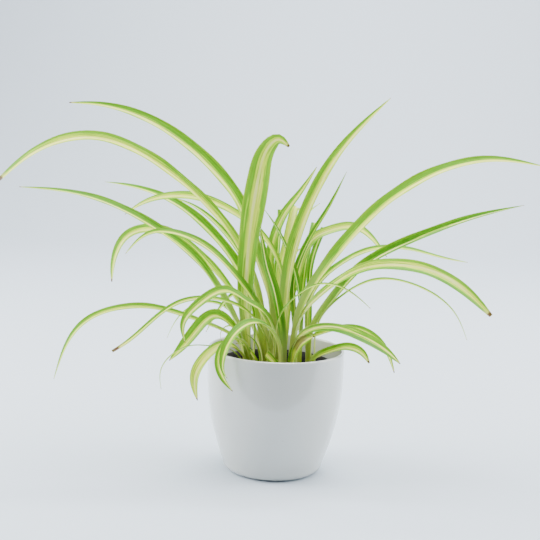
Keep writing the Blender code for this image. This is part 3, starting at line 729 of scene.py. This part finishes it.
SWEEP_HALF = 5.0
SWEEP_FLAT = 1.75         # depth behind the pot where the floor starts to curve up
SWEEP_BEND = 1.2          # radius of that curve
profile = [(-9.0, 0.0), (0.0, 0.0)]
for i in range(33):
    turn = math.pi / 2 * i / 32
    profile.append((SWEEP_FLAT + SWEEP_BEND * math.sin(turn), SWEEP_BEND * (1 - math.cos(turn))))
profile.append((SWEEP_FLAT + SWEEP_BEND, 5.0))
sweep_verts = []
for y, z in profile:
    sweep_verts += [(-SWEEP_HALF, y, z), (SWEEP_HALF, y, z)]
sweep_faces = [(2 * i, 2 * i + 1, 2 * i + 3, 2 * i + 2) for i in range(len(profile) - 1)]
sweep_mesh = bpy.data.meshes.new("paper_sweep")
sweep_mesh.from_pydata(sweep_verts, [], sweep_faces)
sweep_mesh.shade_smooth()

# Background paper: matt, pale blue-grey, with a tooth too fine to see and faint clouding.
paper, paper_shader = principled("background paper, matt", Roughness=0.85, IOR=1.45)
paper_place = node(paper, "ShaderNodeTexCoord")
paper_cloud = node(paper, "ShaderNodeTexNoise", {"Scale": 0.6, "Detail": 1.0}, Vector=paper_place.outputs["Object"])
paper_tone = node(paper, "ShaderNodeMix", {
    "data_type": "RGBA", 6: linear("#D0DBE6"), 7: linear("#D4DFE9")}, Factor=paper_cloud.outputs["Fac"])
join(paper, paper_tone.outputs[2], paper_shader, "Base Color")
sweep = bpy.data.objects.new("paper_sweep", sweep_mesh)
sweep.data.materials.append(paper)
bpy.context.scene.collection.objects.link(sweep)


def softbox(name, place, target, width, height, watts, colour="#FFFFFF"):
    lamp = bpy.data.lights.new(name, "AREA")
    lamp.shape = "RECTANGLE"
    lamp.size = width
    lamp.size_y = height
    lamp.energy = watts
    lamp.color = linear(colour)[:3]
    made = bpy.data.objects.new(name, lamp)
    made.location = place
    aim = Vector(target) - Vector(place)
    made.rotation_mode = "QUATERNION"
    made.rotation_quaternion = aim.to_track_quat("-Z", "Y")
    bpy.context.scene.collection.objects.link(made)


softbox("softbox_left", (-1.6, 0.1, 0.9), (0, 0, 0.15), 1.2, 1.6, 62)
softbox("softbox_right", (1.6, 0.2, 0.9), (0, 0, 0.15), 1.2, 1.6, 40)
softbox("softbox_top", (0.1, 0.0, 1.9), (0, 0, 0), 2.0, 1.1, 50)
softbox("softbox_wall", (0.6, 1.0, 2.6), (0.5, 2.9, 1.1), 1.6, 0.8, 125)

# Black flag lying in front of the pot: only mirror reflections see it, as a dark tongue on the
# front of the glaze.
FLAG_EDGE = -0.225
flag_mesh = bpy.data.meshes.new("black_flag")
flag_mesh.from_pydata(
    [(-1.5, -2.0, 0.002), (1.5, -2.0, 0.002), (1.5, FLAG_EDGE, 0.002), (-1.5, FLAG_EDGE, 0.002)],
    [], [(0, 1, 2, 3)])
flag = bpy.data.objects.new("black_flag", flag_mesh)
velvet, velvet_shader = principled("black velvet", Roughness=0.95, IOR=1.45)
velvet_pile = node(velvet, "ShaderNodeTexNoise", {"Scale": 300.0})
velvet_tone = node(velvet, "ShaderNodeMix", {
    "data_type": "RGBA", 6: linear("#080808"), 7: linear("#141414")}, Factor=velvet_pile.outputs["Fac"])
join(velvet, velvet_tone.outputs[2], velvet_shader, "Base Color")
flag.data.materials.append(velvet)
bpy.context.scene.collection.objects.link(flag)
flag.visible_camera = False
flag.visible_diffuse = False
flag.visible_transmission = False
flag.visible_volume_scatter = False
flag.visible_shadow = False

world = bpy.data.worlds.new("studio")
bpy.context.scene.world = world
world.use_nodes = True
world_back = world.node_tree.nodes["Background"]
world_place = node(world, "ShaderNodeTexCoord")
world_split = node(world, "ShaderNodeSeparateXYZ", {}, Vector=world_place.outputs["Generated"])
world_ramp = node(world, "ShaderNodeMapRange", {
    "From Min": -0.95, "From Max": 0.1, "To Min": 0.15, "To Max": 1.15}, Value=world_split.outputs["Y"])
world.node_tree.links.new(world_ramp.outputs["Result"], world_back.inputs["Strength"])
world_back.inputs["Color"].default_value = linear("#E8EEF4")

lens = bpy.data.cameras.new("camera")
lens.lens = 70
lens.sensor_width = 36
camera = bpy.data.objects.new("camera", lens)
camera.location = (-0.010, -1.058, 0.364)
camera.rotation_mode = "QUATERNION"
tilt = Matrix.Rotation(math.radians(81.61), 4, "X") @ Matrix.Rotation(math.radians(2.33), 4, "Z")
camera.rotation_quaternion = tilt.to_quaternion()
bpy.context.scene.collection.objects.link(camera)
bpy.context.scene.camera = camera
